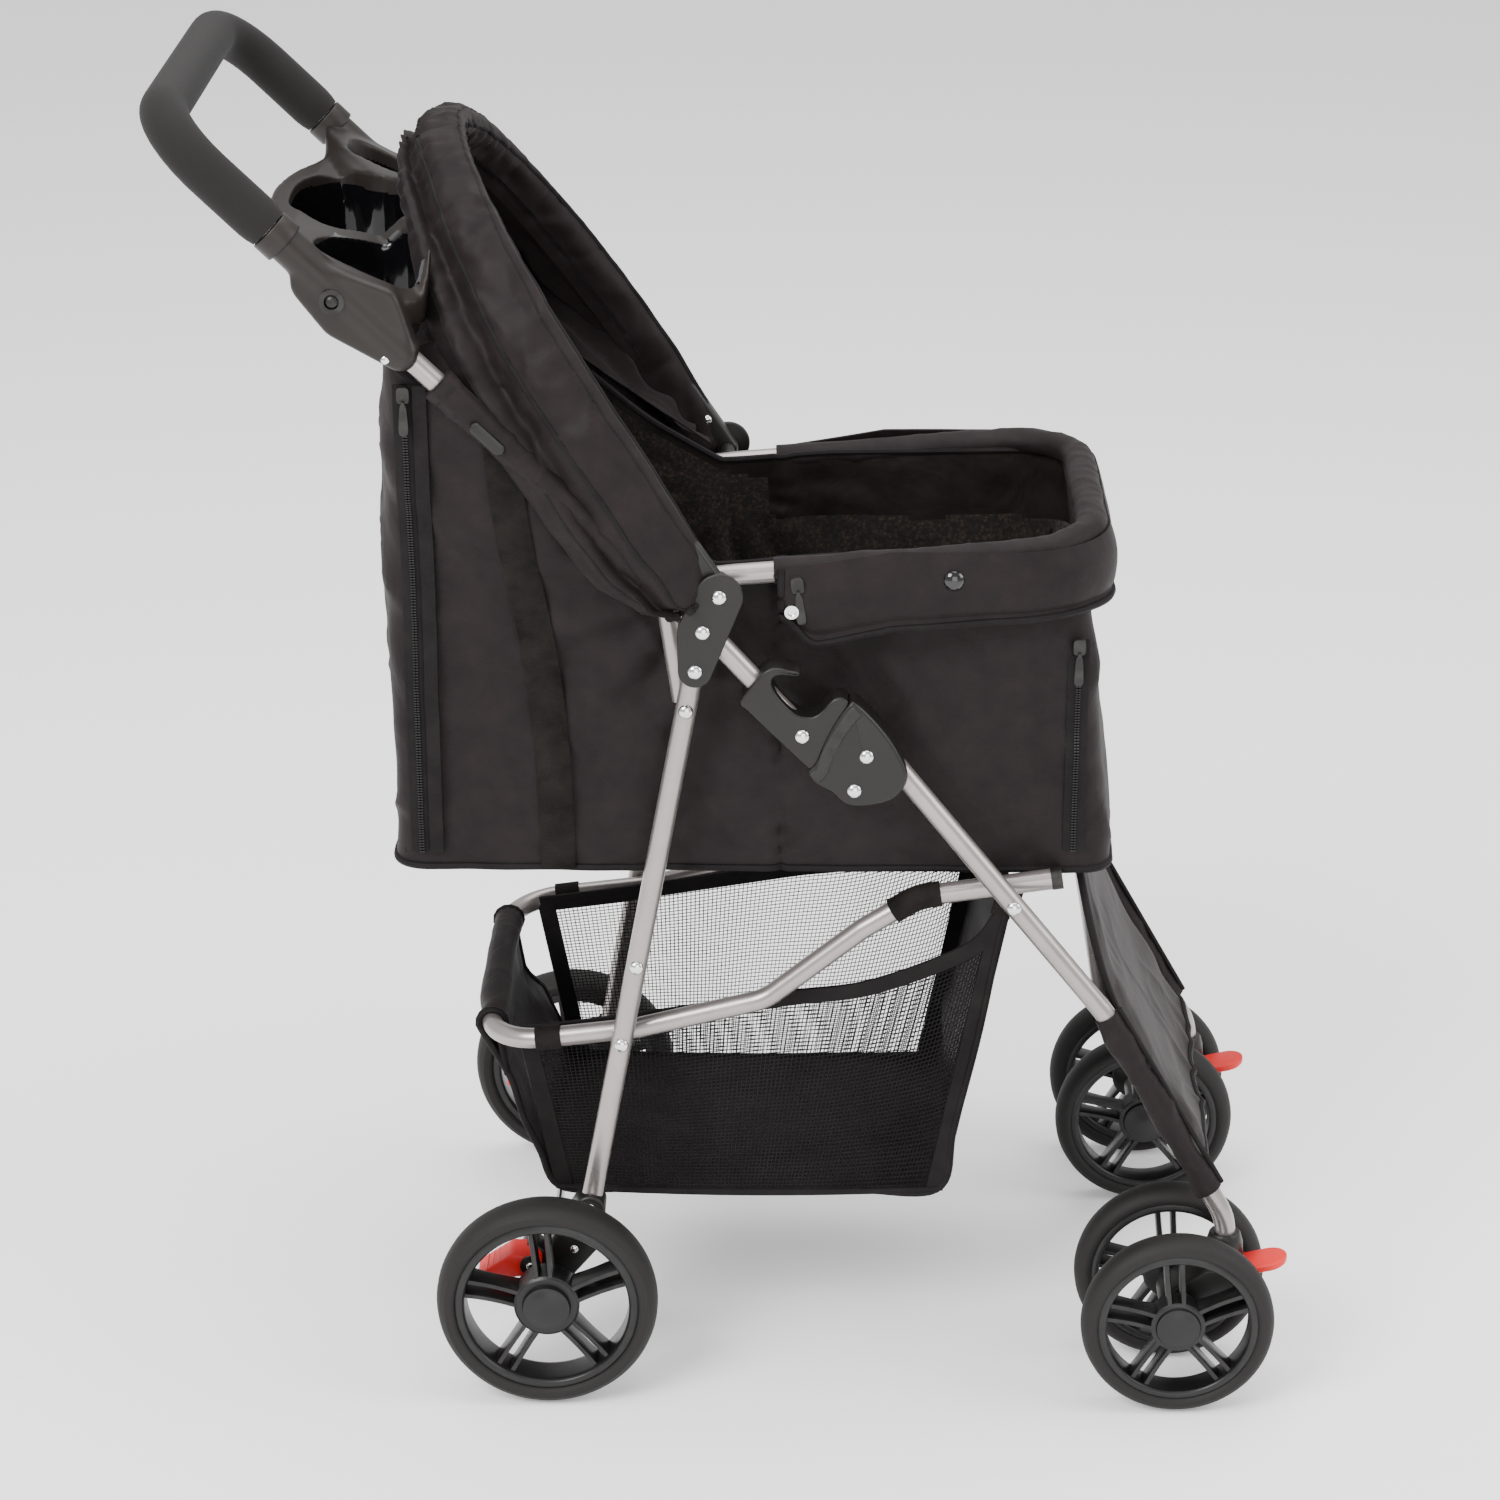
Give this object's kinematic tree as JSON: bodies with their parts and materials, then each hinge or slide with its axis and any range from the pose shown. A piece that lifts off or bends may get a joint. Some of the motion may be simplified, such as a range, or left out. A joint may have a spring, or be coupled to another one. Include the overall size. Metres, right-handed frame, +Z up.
{
  "type": "pet stroller",
  "caption": "Folding pet stroller with a fabric cabin, fold-back canopy, cup tray, mesh basket, swivel front casters and pedal-braked rear wheels.",
  "frame": {"origin": "centre of the bounding box at ground level, under the middle of the wheelbase", "axes": "+X forward, the way the pet faces, +Y to the stroller's left, +Z up"},
  "size_m": [0.8458, 0.461, 1.0087],
  "materials": {
    "silver_tube": "satin silver-grey enamel on round tube",
    "steel_fastener": "bright zinc-plated rivets and axles",
    "black_plastic": "fine moulded texture",
    "tray_plastic": "warm charcoal, satin outside, gloss in the wells",
    "wheel_plastic": "moulded wheel, low sheen",
    "tyre": "moulded foam tyre, matt",
    "red_plastic": "moulded, low sheen",
    "foam": "closed-cell foam sleeve, matt",
    "fabric": "black woven polyester with a soft sheen, mesh sides on the basket",
    "fleece": "dark brown-black fleece"
  },
  "bodies": {
    "rear_frame": {"top_rail": "silver_tube", "rear_axle": "steel_fastener", "cabin_shell": "fabric", "floor_board": "black_plastic", "fleece_mat": "fleece", "apron_flap": "fabric", "rear_leg_right": "silver_tube", "hub_plate_right": "black_plastic", "hub_pin_right": "steel_fastener", "rear_bracket_right": "black_plastic", "rail_rear_pin_right": "steel_fastener", "rear_leg_left": "silver_tube", "hub_plate_left": "black_plastic", "hub_pin_left": "steel_fastener", "rear_bracket_left": "black_plastic", "rail_rear_pin_left": "steel_fastener"},
    "handle_frame": {"handle_bar": "silver_tube", "foam_grip": "foam", "cup_tray": "tray_plastic", "handle_tube_right": "silver_tube", "knee_pin_right": "steel_fastener", "handle_tube_left": "silver_tube", "knee_pin_left": "steel_fastener"},
    "front_frame": {"front_legs": "silver_tube", "front_panel": "fabric", "knee_housing_right": "black_plastic", "rail_front_pin_right": "steel_fastener", "caster_socket_right": "black_plastic", "knee_housing_left": "black_plastic", "rail_front_pin_left": "steel_fastener", "caster_socket_left": "black_plastic"},
    "lower_rail": {"basket_rail": "silver_tube", "basket": "fabric"},
    "canopy": {"canopy_hoop": "silver_tube", "canopy_cover": "fabric", "hoop_arm_right": "black_plastic", "hoop_arm_left": "black_plastic"},
    "latch_right": {"fold_latch_right": "black_plastic"},
    "latch_left": {"fold_latch_left": "black_plastic"},
    "rear_wheel_right": {"rear_tyre_right": "tyre", "rear_rim_right": "wheel_plastic"},
    "rear_wheel_left": {"rear_tyre_left": "tyre", "rear_rim_left": "wheel_plastic"},
    "brake_right": {"brake_pedal_right": "red_plastic"},
    "brake_left": {"brake_pedal_left": "red_plastic"},
    "caster_right": {"caster_fork_right": "black_plastic", "caster_axle_right": "steel_fastener"},
    "swivel_lock_right": {"swivel_lock_right": "red_plastic"},
    "front_wheel_right_outer": {"front_tyre_right_outer": "tyre", "front_rim_right_outer": "wheel_plastic"},
    "front_wheel_right_inner": {"front_tyre_right_inner": "tyre", "front_rim_right_inner": "wheel_plastic"},
    "caster_left": {"caster_fork_left": "black_plastic", "caster_axle_left": "steel_fastener"},
    "swivel_lock_left": {"swivel_lock_left": "red_plastic"},
    "front_wheel_left_outer": {"front_tyre_left_outer": "tyre", "front_rim_left_outer": "wheel_plastic"},
    "front_wheel_left_inner": {"front_tyre_left_inner": "tyre", "front_rim_left_inner": "wheel_plastic"}
  },
  "joints": [
    {"name": "handle_fold", "type": "hinge", "parent": "rear_frame", "child": "handle_frame", "pos_m": [-0.029, 0, 0.623], "axis": [0, -1, 0], "range_deg": [0, 64], "deforming": ["cabin_shell", "floor_board", "fleece_mat", "apron_flap", "basket", "front_panel", "canopy_cover"]},
    {"name": "knee_fold", "type": "hinge", "parent": "handle_frame", "child": "front_frame", "pos_m": [0.08208, 0, 0.49964], "axis": [0, 1, 0], "range_deg": [0, 112]},
    {"name": "lower_rail_fold", "type": "hinge", "parent": "rear_frame", "child": "lower_rail", "pos_m": [-0.09285, 0, 0.28], "axis": [0, -1, 0], "range_deg": [0, 27.52]},
    {"name": "canopy_swing", "type": "hinge", "parent": "rear_frame", "child": "canopy", "pos_m": [-0.017, 0, 0.65], "axis": [0, 1, 0], "range_deg": [0, 84]},
    {"name": "latch_right_slide", "type": "slide", "parent": "handle_frame", "child": "latch_right", "axis": [-0.6691, 0, 0.7431], "range_m": [0, 0.016], "stiffness_N_per_m": 200, "springref_m": -0.004},
    {"name": "latch_left_slide", "type": "slide", "parent": "handle_frame", "child": "latch_left", "axis": [-0.6691, 0, 0.7431], "range_m": [0, 0.016], "stiffness_N_per_m": 200, "springref_m": -0.004},
    {"name": "rear_wheel_right_spin", "type": "hinge", "parent": "rear_frame", "child": "rear_wheel_right", "pos_m": [-0.15, -0.207, 0.085], "axis": [0, 1, 0], "continuous": true},
    {"name": "rear_wheel_left_spin", "type": "hinge", "parent": "rear_frame", "child": "rear_wheel_left", "pos_m": [-0.15, 0.207, 0.085], "axis": [0, 1, 0], "continuous": true},
    {"name": "brake_right_press", "type": "hinge", "parent": "rear_frame", "child": "brake_right", "pos_m": [-0.164, -0.176, 0.101], "axis": [0, -1, 0], "range_deg": [0, 18]},
    {"name": "brake_left_press", "type": "hinge", "parent": "rear_frame", "child": "brake_left", "pos_m": [-0.164, 0.176, 0.101], "axis": [0, -1, 0], "range_deg": [0, 18]},
    {"name": "caster_right_swivel", "type": "hinge", "parent": "front_frame", "child": "caster_right", "pos_m": [0.371, -0.174, 0.11], "axis": [0, 0, 1], "continuous": true},
    {"name": "swivel_lock_right_press", "type": "hinge", "parent": "caster_right", "child": "swivel_lock_right", "pos_m": [0.389, -0.174, 0.1015], "axis": [0, 1, 0], "range_deg": [0, 10]},
    {"name": "front_wheel_right_outer_spin", "type": "hinge", "parent": "caster_right", "child": "front_wheel_right_outer", "pos_m": [0.333, -0.2165, 0.074], "axis": [0, 1, 0], "continuous": true},
    {"name": "front_wheel_right_inner_spin", "type": "hinge", "parent": "caster_right", "child": "front_wheel_right_inner", "pos_m": [0.333, -0.1315, 0.074], "axis": [0, 1, 0], "continuous": true},
    {"name": "caster_left_swivel", "type": "hinge", "parent": "front_frame", "child": "caster_left", "pos_m": [0.371, 0.174, 0.11], "axis": [0, 0, 1], "continuous": true},
    {"name": "swivel_lock_left_press", "type": "hinge", "parent": "caster_left", "child": "swivel_lock_left", "pos_m": [0.389, 0.174, 0.1015], "axis": [0, 1, 0], "range_deg": [0, 10]},
    {"name": "front_wheel_left_outer_spin", "type": "hinge", "parent": "caster_left", "child": "front_wheel_left_outer", "pos_m": [0.333, 0.2165, 0.074], "axis": [0, 1, 0], "continuous": true},
    {"name": "front_wheel_left_inner_spin", "type": "hinge", "parent": "caster_left", "child": "front_wheel_left_inner", "pos_m": [0.333, 0.1315, 0.074], "axis": [0, 1, 0], "continuous": true}
  ],
  "couplings": [
    {"joint": "knee_fold", "follows": "handle_fold", "ratio": 1.75},
    {"joint": "lower_rail_fold", "follows": "handle_fold", "ratio": 0.43}
  ]
}
